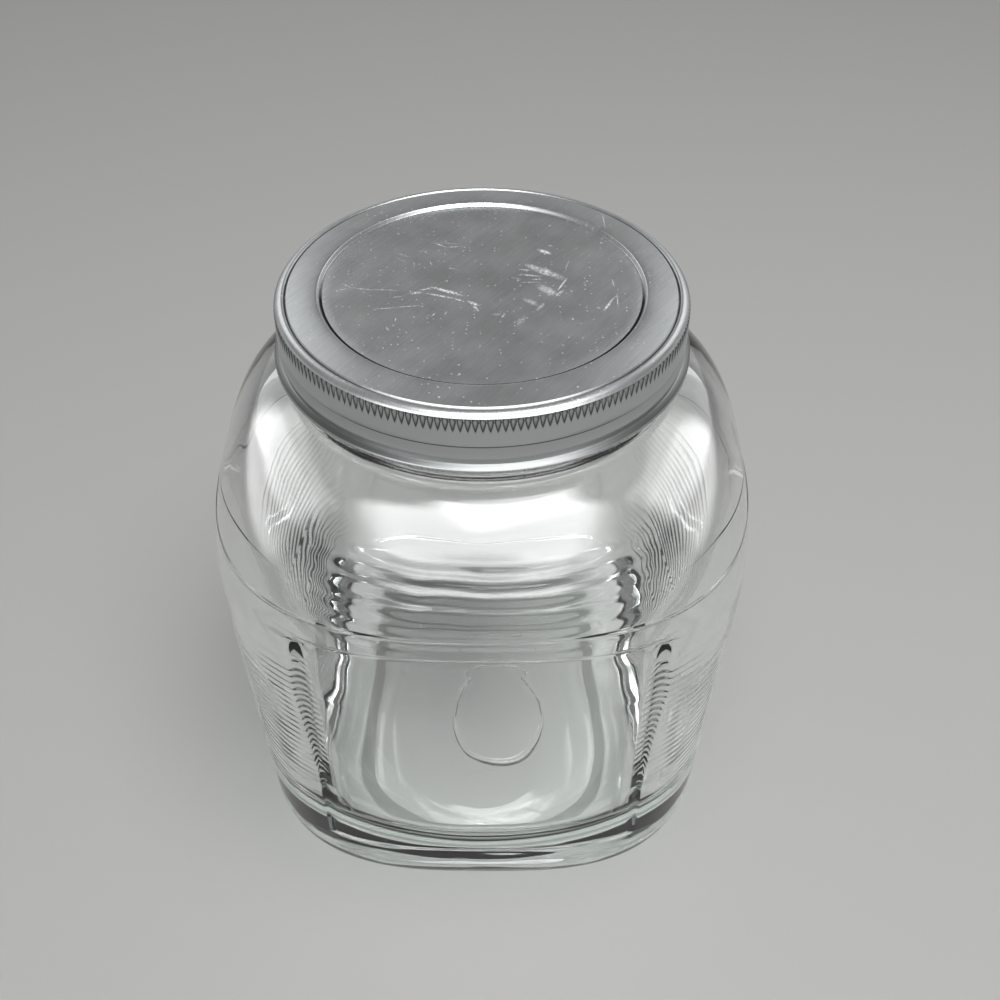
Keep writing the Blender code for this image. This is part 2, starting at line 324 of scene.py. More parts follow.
def shoulder_row(sizes, angle, half, radius, drop, square=SHOULDER_POWER):
    """Half width, power and height on a shoulder: angle 0 is at the neck, QUARTER at the wall."""
    out = math.sin(angle) ** SHOULDER_ROUNDNESS
    down = 1 - max(math.cos(angle), 0.0) ** SHOULDER_ROUNDNESS
    power = mix(2.0, square, out**SHOULDER_SQUARING)
    return mix(radius, half, out), power, mix(TOP - drop, sizes.shoulder_z, down)


def shoulder_angle(sizes, z, drop=NECK_DROP):
    """The angle at a height, for a shoulder whose neck ends this far under the lid's top."""
    down = (TOP - drop - z) / (TOP - drop - sizes.shoulder_z)
    return math.acos((1 - down) ** (1 / SHOULDER_ROUNDNESS))


def column_angles(sizes, relief, z):
    """Directions of the columns, which follow the edges of the ribs and the panels up the wall."""
    level = min(max(z, sizes.heel_height), relief.panel_top)
    half = wall_half(sizes, min(level, sizes.shoulder_z))
    power = wall_power(sizes, level)
    marks = [0.0]
    for x in (relief.rib_end + 1.4 * MM, relief.rib_end, relief.panel_half):
        y = half * (1 - (x / half) ** power) ** (1 / power)
        marks.append(math.atan2(y, x))
    marks.append(QUARTER)
    quarter = []
    for (start, end), steps in zip(zip(marks, marks[1:]), (25, 3, 8, 19)):
        quarter += [mix(start, end, step / steps) for step in range(steps)]
    quarter = np.array(quarter)
    mirrored = 2 * QUARTER - np.append(quarter[1:], QUARTER)[::-1]
    half_turn = np.concatenate([quarter, mirrored])
    return np.concatenate([half_turn, half_turn + 2 * QUARTER])


def base_rows(sizes):
    """Push-up, the ring that the jar stands on, and the heel."""
    inner = sizes.foot_half - 7 * MM
    ring = sizes.ring_radius
    radii = [inner * share for share in np.linspace(0.03, 0.97, 26)]
    radii = [radius for radius in radii if abs(radius - ring) > 2.2 * MM]
    for radius in sorted([*radii, *np.linspace(ring - 1.8 * MM, ring + 1.8 * MM, 13)]):
        share = radius / inner
        rise = sizes.push_up * (1 - share * share) ** 0.85
        bulge = math.exp(-(((radius - ring) / (0.7 * MM)) ** 2))
        yield radius, mix(2.0, BASE_POWER, share**3), rise - 0.6 * MM * bulge
    yield inner, BASE_POWER, 0.1 * MM
    yield inner + 0.8 * MM, BASE_POWER, 0.0
    for angle in np.linspace(0, QUARTER, 18):
        half = mix(sizes.foot_half, wall_half(sizes, sizes.heel_height), math.sin(angle))
        yield half, BASE_POWER, sizes.heel_height * (1 - math.cos(angle))


def wall_rows(sizes, relief):
    """The wall, with six rows to a rib and eight to a short groove."""
    start = relief.rib_bottom - relief.rib_pitch / 2
    end = relief.rib_bottom + (relief.rib_count + 0.5) * relief.rib_pitch
    top = end - relief.rib_pitch / 2 + (relief.grooves + 0.5) * relief.groove_pitch
    levels = list(np.linspace(sizes.heel_height, relief.panel_bottom, 5)[1:-1])
    levels += list(np.linspace(relief.panel_bottom, relief.panel_bottom + 1.3 * MM, 4))
    levels += list(np.linspace(relief.panel_bottom + 1.3 * MM, start, 7)[1:-1])
    levels += list(np.linspace(start, end, 6 * (relief.rib_count + 1) + 1))
    levels += list(np.linspace(end, top, 8 * relief.grooves + 3)[1:])
    levels += list(np.linspace(top, sizes.shoulder_z, 6)[1:])
    for z in levels:
        yield wall_half(sizes, z), wall_power(sizes, z), z


def shoulder_rows(sizes, relief):
    marks = [relief.panel_top - share * MM for share in (1.3, 0.9, 0.4, 0.0)]
    marks += [relief.seam_z + offset * MM for offset in (-0.9, -0.6, -0.3, 0.0, 0.3, 0.6, 0.9)]
    angles = [shoulder_angle(sizes, z) for z in marks]
    spread = np.linspace(0.985 * QUARTER, 0.06 * QUARTER, 44)
    angles += [a for a in spread if all(abs(a - mark) > 0.008 for mark in angles)]
    for angle in sorted(angles, reverse=True):
        yield shoulder_row(sizes, angle, sizes.shoulder_half, sizes.neck_radius, NECK_DROP)


def neck_rows(sizes):
    """Fillet, transfer bead, threaded finish and lip."""
    foot = TOP - NECK_DROP
    fillet = 2.2 * MM
    for angle in np.linspace(0.1, 1.0, 8) * QUARTER:
        radius = sizes.neck_radius + fillet * (1 - math.sin(angle))
        yield radius, 2.0, foot - 0.1 * MM + fillet * (1 - math.cos(angle))
    centre = TOP - BEAD_TOP_DROP - BEAD_HEIGHT / 2
    swell = BEAD_RADIUS - sizes.neck_radius
    for angle in np.linspace(-1.0, 1.0, 11) * QUARTER:
        radius = sizes.neck_radius + swell * math.cos(angle) ** 0.7 if abs(angle) < QUARTER else 0
        yield max(radius, sizes.neck_radius), 2.0, centre + BEAD_HEIGHT / 2 * math.sin(angle)
    low, high = thread_span()
    for z in np.linspace(low, high, 14):
        yield sizes.neck_radius, 2.0, z
    lip = TOP - LIP_DROP
    middle = (sizes.neck_radius + sizes.mouth_radius) / 2
    width = (sizes.neck_radius - sizes.mouth_radius) / 2
    for angle in np.linspace(0, 2 * QUARTER, 13):
        radius = middle + width * math.copysign(abs(math.cos(angle)) ** 0.6, math.cos(angle))
        yield radius, 2.0, lip - 1.6 * MM * (1 - math.sin(angle) ** 0.6)


def hollow_rows(sizes):
    """The inside, from the mouth down to the floor."""
    drop = NECK_DROP + SHOULDER_WALL_DROP
    for z in np.linspace(TOP - LIP_DROP - 4 * MM, TOP - drop + 3 * MM, 5):
        yield sizes.mouth_radius, 2.0, z
    angles = list(np.linspace(0.0, shoulder_angle(sizes, WAVES_TOP, drop), 14)[:-1])
    levels = np.linspace(WAVES_TOP, sizes.shoulder_z + 1.0 * MM, 52)
    angles += [shoulder_angle(sizes, z, drop) for z in levels]
    half, square = sizes.shoulder_half - sizes.wall, inner_power(sizes, sizes.shoulder_z)
    for angle in angles:
        yield shoulder_row(sizes, angle, half, sizes.mouth_radius, drop, square)
    rim = sizes.floor_thickness + sizes.push_up / 2 + sizes.inner_heel
    for z in np.linspace(sizes.shoulder_z, rim, 12):
        yield wall_half(sizes, z) - sizes.wall, inner_power(sizes, z), z
    for angle in np.linspace(0, QUARTER, 24)[1:]:
        out = math.cos(angle)
        half = mix(sizes.inner_floor, wall_half(sizes, rim) - sizes.wall, out)
        power = mix(2.0, inner_power(sizes, rim), out**5)
        yield half, power, rim - sizes.inner_heel * math.sin(angle)
    floor_z = sizes.floor_thickness + sizes.push_up / 2
    for share in np.linspace(0.93, 0.04, 14):
        rise = sizes.push_up / 2 * (1 - share**2)
        nub = 0.5 * MM * math.exp(-((share * sizes.inner_floor / (2.2 * MM)) ** 2))
        yield sizes.inner_floor * share, 2.0, floor_z + rise + nub


def thread_span():
    """Lowest and highest level that the thread reaches."""
    start = TOP - THREAD_START_DROP
    return start - THREAD_HALF_HEIGHT, start + THREAD_PITCH + THREAD_HALF_HEIGHT


def thread_rise(angles, z):
    """Height of the one-turn thread over the neck. It runs out at both ends."""
    turn = (angles % (4 * QUARTER)) / (4 * QUARTER)
    centre = TOP - THREAD_START_DROP + THREAD_PITCH * turn
    across = np.clip(1 - np.abs(z - centre) / THREAD_HALF_HEIGHT, 0, 1)
    ends = np.clip(np.minimum(12 * turn, 12 * (1 - turn)), 0, 1)
    return THREAD_DEPTH * np.sin(across * QUARTER) * ends


def row_shift(shift, radius, full, none):
    """A row's shift from the axis: all of it up to one radius, and none from another on."""
    share = min(max((none - radius) / (none - full), 0.0), 1.0)
    share = share * share * (3 - 2 * share)
    return shift[0] * share, shift[1] * share


def jar_mesh(sizes, relief):
    """One closed shell: up the outside from the push-up, and down the inside to the floor."""
    outside = [*base_rows(sizes), *wall_rows(sizes, relief), *shoulder_rows(sizes, relief)]
    outside += neck_rows(sizes)
    inside = list(hollow_rows(sizes))
    low, high = thread_span()
    grid = []
    for place, (half, power, z) in enumerate(outside + inside):
        angles = column_angles(sizes, relief, z)
        reach = superellipse(angles, half, power)
        shift = (0.0, 0.0)
        if z < sizes.push_up + 0.1 * MM and place < len(outside):
            full, none = sizes.ring_radius + 3 * MM, sizes.foot_half - 10 * MM
            shift = row_shift(RING_SHIFT, half, full, none)
        elif z < sizes.inner_heel and place >= len(outside):
            shift = row_shift(NUB_SHIFT, half, 6 * MM, sizes.inner_floor - 3 * MM)
        if place < len(outside) and low <= z <= high and abs(half - sizes.neck_radius) < 1e-6:
            reach = reach + thread_rise(angles, z)
        level = np.full_like(angles, z)
        x, y = reach * np.cos(angles) + shift[0], reach * np.sin(angles) + shift[1]
        grid.append(np.stack([x, y, level], 1))
    columns = len(grid[0])
    points = np.concatenate(grid)
    faces = []
    for row in range(len(grid) - 1):
        start = row * columns
        for column in range(columns):
            after = (column + 1) % columns
            faces.append(
                (start + column, start + after, start + columns + after, start + columns + column)
            )
    bottom, floor = len(points), len(points) + 1
    last = (len(grid) - 1) * columns
    for column in range(columns):
        after = (column + 1) % columns
        faces.append((bottom, after, column))
        faces.append((floor, last + column, last + after))
    nub_top = sizes.floor_thickness + sizes.push_up + 0.5 * MM
    points = np.concatenate([points, [(*RING_SHIFT, sizes.push_up), (*NUB_SHIFT, nub_top)]])
    outer = np.zeros(len(points))
    outer[: len(outside) * columns] = 1.0
    outer[bottom] = 1.0
    return link_mesh("glass_jar", points.tolist(), faces, outer)


RIB_FADE = (3 * MM, 12 * MM)  # past the field's end: where the ribs start, and are full
GROOVE_HALF = 0.36  # half height of a short groove, as a share of its pitch
GROOVE_FADE = 6 * MM
BEVEL_START = 0.050  # height from which the panel's bevel widens
BEVEL_LEAST = 0.7 * MM
SETTLE_FADES = (3 * MM, 9 * MM, 18 * MM)  # at the bottom, at the top and at the sides


def relief_tree(values):
    """Presses ribs, panels and a seam into the outer surface, and makes the inner one uneven."""
    tree, given = new_tree("pressed_relief", values)
    position = add_node(tree, "GeometryNodeInputPosition").outputs[0]
    place = add_node(tree, "ShaderNodeSeparateXYZ", (position,)).outputs
    height = place["Z"]
    side = add_node(tree, "ShaderNodeMath", (place["X"],), operation="ABSOLUTE").outputs[0]
    depth = add_node(tree, "ShaderNodeMath", (place["Y"],), operation="ABSOLUTE").outputs[0]

    # Ribs: grooves cut at an even pitch, whose crests are flush with the plain wall.
    above = add_node(
        tree, "ShaderNodeMath", (height, given["Rib Bottom"]), operation="SUBTRACT"
    ).outputs[0]
    number = add_node(
        tree, "ShaderNodeMath", (above, given["Rib Pitch"]), operation="DIVIDE"
    ).outputs[0]
    turned = add_node(
        tree, "ShaderNodeMath", (number, 4 * QUARTER), operation="MULTIPLY"
    ).outputs[0]
    wave = add_node(tree, "ShaderNodeMath", (turned,), operation="COSINE").outputs[0]
    groove = add_node(
        tree, "ShaderNodeMapRange", (wave, -1.0, 1.0, 0.0, 1.0), clamp=True
    ).outputs[0]
    last = add_node(
        tree, "ShaderNodeMath", (given["Rib Count"], 0.5), operation="ADD"
    ).outputs[0]
    started = add_node(
        tree, "ShaderNodeMath", (number, -0.5), operation="GREATER_THAN"
    ).outputs[0]
    unended = add_node(tree, "ShaderNodeMath", (number, last), operation="LESS_THAN").outputs[0]
    near_end = add_node(
        tree, "ShaderNodeMath", (given["Rib End"], RIB_FADE[0]), operation="ADD"
    ).outputs[0]
    full_end = add_node(
        tree, "ShaderNodeMath", (given["Rib End"], RIB_FADE[1]), operation="ADD"
    ).outputs[0]
    corner = add_node(
        tree,
        "ShaderNodeMapRange",
        (side, near_end, full_end, 0.0, 1.0),
        interpolation_type="SMOOTHSTEP",
    ).outputs[0]
    for share in (started, unended):
        groove = add_node(
            tree, "ShaderNodeMath", (groove, share), operation="MULTIPLY"
        ).outputs[0]

    # Short grooves above the ribs, each shorter than the one below it.
    field = add_node(
        tree, "ShaderNodeMath", (given["Rib Count"], given["Rib Pitch"]), operation="MULTIPLY"
    ).outputs[0]
    past = add_node(tree, "ShaderNodeMath", (above, field), operation="SUBTRACT").outputs[0]
    order = add_node(
        tree, "ShaderNodeMath", (past, given["Groove Pitch"]), operation="DIVIDE"
    ).outputs[0]
    rank = add_node(tree, "ShaderNodeMath", (order,), operation="ROUND").outputs[0]
    off = add_node(tree, "ShaderNodeMath", (order, rank), operation="SUBTRACT").outputs[0]
    away = add_node(tree, "ShaderNodeMath", (off,), operation="ABSOLUTE").outputs[0]
    narrow = add_node(
        tree,
        "ShaderNodeMapRange",
        (away, 0.0, GROOVE_HALF, 1.0, 0.0),
        interpolation_type="SMOOTHSTEP",
    ).outputs[0]
    first = add_node(tree, "ShaderNodeMath", (rank, 0.5), operation="GREATER_THAN").outputs[0]
    most = add_node(
        tree, "ShaderNodeMath", (given["Grooves"], 0.5), operation="ADD"
    ).outputs[0]
    under = add_node(tree, "ShaderNodeMath", (rank, most), operation="LESS_THAN").outputs[0]
    lost = add_node(
        tree, "ShaderNodeMath", (rank, given["Groove Step"]), operation="MULTIPLY"
    ).outputs[0]
    reach = add_node(
        tree, "ShaderNodeMath", (given["Groove Reach"], lost), operation="SUBTRACT"
    ).outputs[0]
    fade = add_node(tree, "ShaderNodeMath", (reach, GROOVE_FADE), operation="SUBTRACT").outputs[0]
    kept = add_node(
        tree,
        "ShaderNodeMapRange",
        (depth, fade, reach, 1.0, 0.0),
        interpolation_type="SMOOTHSTEP",
    ).outputs[0]
    short = narrow
    for share in (first, under, kept):
        short = add_node(tree, "ShaderNodeMath", (short, share), operation="MULTIPLY").outputs[0]
    cut = add_node(tree, "ShaderNodeMath", (groove, short), operation="MAXIMUM").outputs[0]
    for share in (corner, given["Rib Depth"]):
        cut = add_node(tree, "ShaderNodeMath", (cut, share), operation="MULTIPLY").outputs[0]

    # Panels: fields at the front and the back that lie flatter than the wall. Their bevel is
    # widest at the top and closes up towards the foot.
    edge = add_node(
        tree,
        "ShaderNodeMapRange",
        (
            height,
            BEVEL_START,
            given["Panel Full Height"],
            given["Panel Half"],
            given["Panel Edge"],
        ),
    ).outputs[0]
    least = add_node(
        tree, "ShaderNodeMath", (given["Panel Half"], BEVEL_LEAST), operation="ADD"
    ).outputs[0]
    bevel = add_node(tree, "ShaderNodeMath", (edge, least), operation="MAXIMUM").outputs[0]
    panel = add_node(
        tree,
        "ShaderNodeMapRange",
        (side, given["Panel Half"], bevel, 1.0, 0.0),
        interpolation_type="SMOOTHSTEP",
    ).outputs[0]
    foot = add_node(
        tree, "ShaderNodeMath", (given["Panel Bottom"], given["Panel Slope"]), operation="ADD"
    ).outputs[0]
    rise = add_node(
        tree,
        "ShaderNodeMapRange",
        (height, given["Panel Bottom"], foot, 0.0, 1.0),
        interpolation_type="SMOOTHSTEP",
    ).outputs[0]
    head = add_node(
        tree, "ShaderNodeMath", (given["Panel Top"], given["Panel Slope"]), operation="SUBTRACT"
    ).outputs[0]
    fall = add_node(
        tree,
        "ShaderNodeMapRange",
        (height, head, given["Panel Top"], 1.0, 0.0),
        interpolation_type="SMOOTHSTEP",
    ).outputs[0]
    sunk = add_node(
        tree,
        "ShaderNodeMapRange",
        (
            height,
            given["Panel Bottom"],
            given["Panel Full Height"],
            given["Panel Foot Depth"],
            given["Panel Depth"],
        ),
    ).outputs[0]
    for share in (rise, fall, sunk):
        panel = add_node(tree, "ShaderNodeMath", (panel, share), operation="MULTIPLY").outputs[0]

    # Seam: the fine line at which the mould's halves met.
    beside = add_node(
        tree, "ShaderNodeMath", (height, given["Seam Height"]), operation="SUBTRACT"
    ).outputs[0]
    share = add_node(
        tree, "ShaderNodeMath", (beside, given["Seam Half Width"]), operation="DIVIDE"
    ).outputs[0]
    square = add_node(tree, "ShaderNodeMath", (share, 2.0), operation="POWER").outputs[0]
    arch = add_node(
        tree, "ShaderNodeMath", (1.0, square), operation="SUBTRACT", use_clamp=True
    ).outputs[0]
    seam = add_node(
        tree, "ShaderNodeMath", (arch, given["Seam Depth"]), operation="MULTIPLY"
    ).outputs[0]
    plain = add_node(tree, "ShaderNodeMath", (seam, cut), operation="SUBTRACT").outputs[0]
    outside = add_node(tree, "ShaderNodeMath", (plain, panel), operation="SUBTRACT").outputs[0]

    # Inside: a slow unevenness, and the waves in which the glass settled under the shoulder.
    frequency = add_node(
        tree, "ShaderNodeMath", (1.0, given["Wave Size"]), operation="DIVIDE"
    ).outputs[0]
    noise = add_node(
        tree,
        "ShaderNodeTexNoise",
        {"Vector": position, "Scale": frequency, "Detail": 1.0, "Roughness": 0.4},
    ).outputs[0]
    uneven = add_node(
        tree, "ShaderNodeMapRange", (noise, 0.0, 1.0, -1.0, 1.0), clamp=False
    ).outputs[0]
    slow = add_node(
        tree, "ShaderNodeMath", (uneven, given["Wave Depth"]), operation="MULTIPLY"
    ).outputs[0]
    drift = add_node(tree, "ShaderNodeMath", (uneven, 0.5), operation="MULTIPLY").outputs[0]
    level = add_node(
        tree, "ShaderNodeMath", (height, given["Settle Pitch"]), operation="DIVIDE"
    ).outputs[0]
    step = add_node(tree, "ShaderNodeMath", (level, drift), operation="ADD").outputs[0]
    swing = add_node(tree, "ShaderNodeMath", (step, 4 * QUARTER), operation="MULTIPLY").outputs[0]
    settle = add_node(tree, "ShaderNodeMath", (swing,), operation="SINE").outputs[0]
    low = add_node(
        tree, "ShaderNodeMath", (given["Settle Bottom"], SETTLE_FADES[0]), operation="ADD"
    ).outputs[0]
    high = add_node(
        tree, "ShaderNodeMath", (given["Settle Top"], SETTLE_FADES[1]), operation="SUBTRACT"
    ).outputs[0]
    wide = add_node(
        tree, "ShaderNodeMath", (given["Settle Reach"], SETTLE_FADES[2]), operation="SUBTRACT"
    ).outputs[0]
    fades = (
        (height, given["Settle Bottom"], low, 0.0, 1.0),
        (height, high, given["Settle Top"], 1.0, 0.0),
        (side, wide, given["Settle Reach"], 1.0, 0.0),
    )
    for fade in fades:
        share = add_node(
            tree, "ShaderNodeMapRange", fade, interpolation_type="SMOOTHSTEP"
        ).outputs[0]
        settle = add_node(
            tree, "ShaderNodeMath", (settle, share), operation="MULTIPLY"
        ).outputs[0]
    waves = add_node(
        tree, "ShaderNodeMath", (settle, given["Settle Depth"]), operation="MULTIPLY"
    ).outputs[0]
    inside = add_node(tree, "ShaderNodeMath", (slow, waves), operation="ADD").outputs[0]

    outer = add_node(
        tree, "GeometryNodeInputNamedAttribute", ("outer",), data_type="FLOAT"
    ).outputs[0]
    total = add_node(
        tree, "ShaderNodeMix", {"Factor": outer, "A": inside, "B": outside}, data_type="FLOAT"
    ).outputs[0]
    normal = add_node(tree, "GeometryNodeInputNormal").outputs[0]
    offset = add_node(
        tree, "ShaderNodeVectorMath", {0: normal, "Scale": total}, operation="SCALE"
    ).outputs[0]
    moved = add_node(
        tree, "GeometryNodeSetPosition", {"Geometry": given["Geometry"], "Offset": offset}
    ).outputs[0]
    close_tree(tree, moved, given)
    return tree


# Lid. Its profile is a list of (radius, height under the top) from the top's middle, over the rim,
# down the skirt, round the curl and back up the inside.


def arc(centre, radii, start, end, steps):
    """Points on an elliptic arc, for angles measured from straight out towards up."""
    for angle in np.linspace(start, end, steps):
        yield centre[0] + radii[0] * math.cos(angle), centre[1] - radii[1] * math.sin(angle)


def lid_top(sizes):
    """Sunk panel, the step up to the ring, the ring and the groove."""
    step = sizes.step_radius
    for share in (0.2, 0.4, 0.6, 0.8, 0.93):
        yield step * share, sizes.recess
    yield step - 0.2 * MM, sizes.recess
    yield step, sizes.recess + 0.03 * MM
    yield step + 0.15 * MM, sizes.recess - 0.05 * MM
    yield step + 0.3 * MM, sizes.recess - 0.25 * MM
    yield step + 0.6 * MM, 0.25 * MM
    yield step + 0.75 * MM, 0.08 * MM
    yield step + 0.95 * MM, 0.01 * MM
    yield step + 1.5 * MM, 0.0
    groove = sizes.groove_radius
    fall = 0.45 * MM
    start = step + 2.2 * MM
    for share in np.linspace(0.0, 1.0, 7):
        yield mix(start, groove - 0.5 * MM, share), fall * share**1.3
    yield groove - 0.25 * MM, fall + 0.3 * MM
    yield groove, fall + 0.6 * MM
    yield groove + 0.2 * MM, fall + 0.3 * MM
    yield groove + 0.45 * MM, fall + 0.08 * MM


def rim_points(sizes):
    inner = sizes.groove_radius + 0.5 * MM
    radii = (sizes.radius - inner, 1.9 * MM)
    yield from arc((inner, 2.4 * MM), radii, QUARTER, 0.0, 9)


def skirt_points(sizes):
    """Plain band, crease, lower band, waist and the curled edge."""
    radius = sizes.radius
    yield radius, 6.4 * MM
    yield radius, 8.0 * MM
    yield radius, 9.6 * MM
    yield radius - 0.1 * MM, 9.95 * MM
    yield radius - 0.42 * MM, 10.15 * MM
    yield radius - 0.52 * MM, 10.35 * MM
    yield radius - 0.45 * MM, 10.7 * MM
    yield radius - 0.3 * MM, 11.3 * MM
    yield radius - 0.14 * MM, 12.0 * MM
    yield radius - 0.03 * MM, 12.7 * MM
    yield radius, 13.3 * MM
    yield radius - 0.1 * MM, 14.1 * MM
    yield radius - 0.38 * MM, 14.9 * MM
    yield radius - 0.45 * MM, 15.5 * MM
    centre = (sizes.curl_outer - 0.9 * MM, 16.8 * MM)
    yield from arc(centre, (0.9 * MM, 0.9 * MM), 0.72 * QUARTER, -1.6 * QUARTER, 16)


def lid_inside(sizes):
    wall = sizes.radius - sizes.sheet
    yield wall - 0.3 * MM, 15.2 * MM
    yield wall - 0.3 * MM, 11.2 * MM
    yield wall - 0.5 * MM, 10.4 * MM
    yield wall - 0.3 * MM, 9.6 * MM
    yield wall - 0.3 * MM, 3.6 * MM
    yield wall - 1.0 * MM, 2.6 * MM
    yield sizes.groove_radius, 2.15 * MM
    yield sizes.step_radius + 2.0 * MM, sizes.sheet + 0.1 * MM
    yield sizes.step_radius + 1.0 * MM, sizes.recess + 0.3 * MM
    yield sizes.step_radius, sizes.recess + sizes.sheet
    yield sizes.step_radius * 0.5, sizes.recess + sizes.sheet


def lid_mesh(sizes):
    """Turns the profile. The knurled band has ten columns to a flute and the rest has two."""
    coarse, fine = 2 * sizes.knurls, 10 * sizes.knurls
    loops = [(radius, drop, coarse) for radius, drop in (*lid_top(sizes), *rim_points(sizes))]
    loops += [(sizes.radius, drop, fine) for drop in np.linspace(2.5 * MM, 6.1 * MM, 12)]
    loops += [(radius, drop, coarse) for radius, drop in skirt_points(sizes)]
    outer_loops = len(loops)
    loops += [(radius, drop, coarse) for radius, drop in lid_inside(sizes)]
    points, starts, outer = [], [], []
    for place, (radius, drop, columns) in enumerate(loops):
        starts.append(len(points))
        for column in range(columns):
            angle = 4 * QUARTER * column / columns
            points.append((radius * math.cos(angle), radius * math.sin(angle), TOP - drop))
        outer += [1.0 if place < outer_loops else 0.0] * columns
    faces = []
    for place in range(len(loops) - 1):
        below, above = starts[place], starts[place + 1]
        few, many = loops[place][2], loops[place + 1][2]
        if few > many:
            few, many = many, few
            below, above = above, below
        ratio = many // few
        for column in range(few):
            after = (column + 1) % few
            fan = [above + (column * ratio + step) % many for step in range(ratio + 1)]
            faces.append((below + column, below + after, *fan[::-1]))
    top, under = len(points), len(points) + 1
    last, columns = starts[-1], loops[-1][2]
    for column in range(coarse):
        faces.append((top, column, (column + 1) % coarse))
    for column in range(columns):
        faces.append((under, last + column, last + (column + 1) % columns))
    points += [(0, 0, TOP - sizes.recess), (0, 0, TOP - sizes.recess - sizes.sheet)]
    outer += [1.0, 0.0]
    return link_mesh("screw_lid", points, faces, outer)


def knurl_tree(values):
    """Presses flutes into the rim. Each is a V that comes to a point at the bottom."""
    tree, given = new_tree("rolled_knurls", values)
    position = add_node(tree, "GeometryNodeInputPosition").outputs[0]
    place = add_node(tree, "ShaderNodeSeparateXYZ", (position,)).outputs
    angle = add_node(
        tree, "ShaderNodeMath", (place["Y"], place["X"]), operation="ARCTAN2"
    ).outputs[0]
    turns = add_node(
        tree, "ShaderNodeMath", (angle, 4 * QUARTER), operation="DIVIDE"
    ).outputs[0]
    number = add_node(
        tree, "ShaderNodeMath", (turns, given["Flutes"]), operation="MULTIPLY"
    ).outputs[0]
    phase = add_node(tree, "ShaderNodeMath", (number,), operation="FRACT").outputs[0]
    off = add_node(tree, "ShaderNodeMath", (phase, 0.5), operation="SUBTRACT").outputs[0]
    away = add_node(tree, "ShaderNodeMath", (off,), operation="ABSOLUTE").outputs[0]
    doubled = add_node(tree, "ShaderNodeMath", (away, 2.0), operation="MULTIPLY").outputs[0]
    narrow = add_node(
        tree,
        "ShaderNodeMapRange",
        (place["Z"], given["Flute Bottom"], given["Flute Top"], 0.0, 1.0),
    ).outputs[0]
    width = add_node(tree, "ShaderNodeMath", (narrow, 0.75), operation="POWER").outputs[0]
    wide = add_node(tree, "ShaderNodeMath", (width, 0.001), operation="MAXIMUM").outputs[0]
    ratio = add_node(tree, "ShaderNodeMath", (doubled, wide), operation="DIVIDE").outputs[0]
    square = add_node(tree, "ShaderNodeMath", (ratio, 2.0), operation="POWER").outputs[0]
    left = add_node(
        tree, "ShaderNodeMath", (1.0, square), operation="SUBTRACT", use_clamp=True
    ).outputs[0]
    scoop = add_node(tree, "ShaderNodeMath", (left, 0.6), operation="POWER").outputs[0]
    vee = add_node(tree, "ShaderNodeMath", (scoop, width), operation="MULTIPLY").outputs[0]
    started = add_node(
        tree, "ShaderNodeMath", (given["Flute Top"], place["Z"]), operation="GREATER_THAN"
    ).outputs[0]
    reach = add_node(tree, "ShaderNodeVectorMath", (position,), operation="MULTIPLY")
    reach.inputs[1].default_value = (1.0, 1.0, 0.0)
    radius = add_node(
        tree, "ShaderNodeVectorMath", (reach.outputs[0],), operation="LENGTH"
    ).outputs["Value"]
    limit = add_node(
        tree, "ShaderNodeMath", (given["Rim Radius"], 0.2 * MM), operation="SUBTRACT"
    ).outputs[0]
    edge = add_node(tree, "ShaderNodeMath", (radius, limit), operation="GREATER_THAN").outputs[0]
    outer = add_node(
        tree, "GeometryNodeInputNamedAttribute", ("outer",), data_type="FLOAT"
    ).outputs[0]
    for share in (started, edge, outer):
        vee = add_node(tree, "ShaderNodeMath", (vee, share), operation="MULTIPLY").outputs[0]
    height = add_node(
        tree, "ShaderNodeMath", (vee, given["Flute Depth"]), operation="MULTIPLY"
    ).outputs[0]
    inward = add_node(tree, "ShaderNodeMath", (height, -1.0), operation="MULTIPLY").outputs[0]
    outward = add_node(
        tree, "ShaderNodeVectorMath", (reach.outputs[0],), operation="NORMALIZE"
    ).outputs[0]
    offset = add_node(
        tree, "ShaderNodeVectorMath", {0: outward, "Scale": inward}, operation="SCALE"
    ).outputs[0]
    marked = add_node(
        tree,
        "GeometryNodeStoreNamedAttribute",
        {"Geometry": given["Geometry"], "Name": "flute", "Value": vee},
        data_type="FLOAT",
        domain="POINT",
    ).outputs[0]
    moved = add_node(
        tree, "GeometryNodeSetPosition", {"Geometry": marked, "Offset": offset}
    ).outputs[0]
    close_tree(tree, moved, given)
    return tree


# Materials.


def blank_material(name):
    """A material with an empty tree. Returns it with its tree."""
    made = bpy.data.materials.new(name)
    made.use_nodes = True
    made.node_tree.nodes.clear()
    return made, made.node_tree


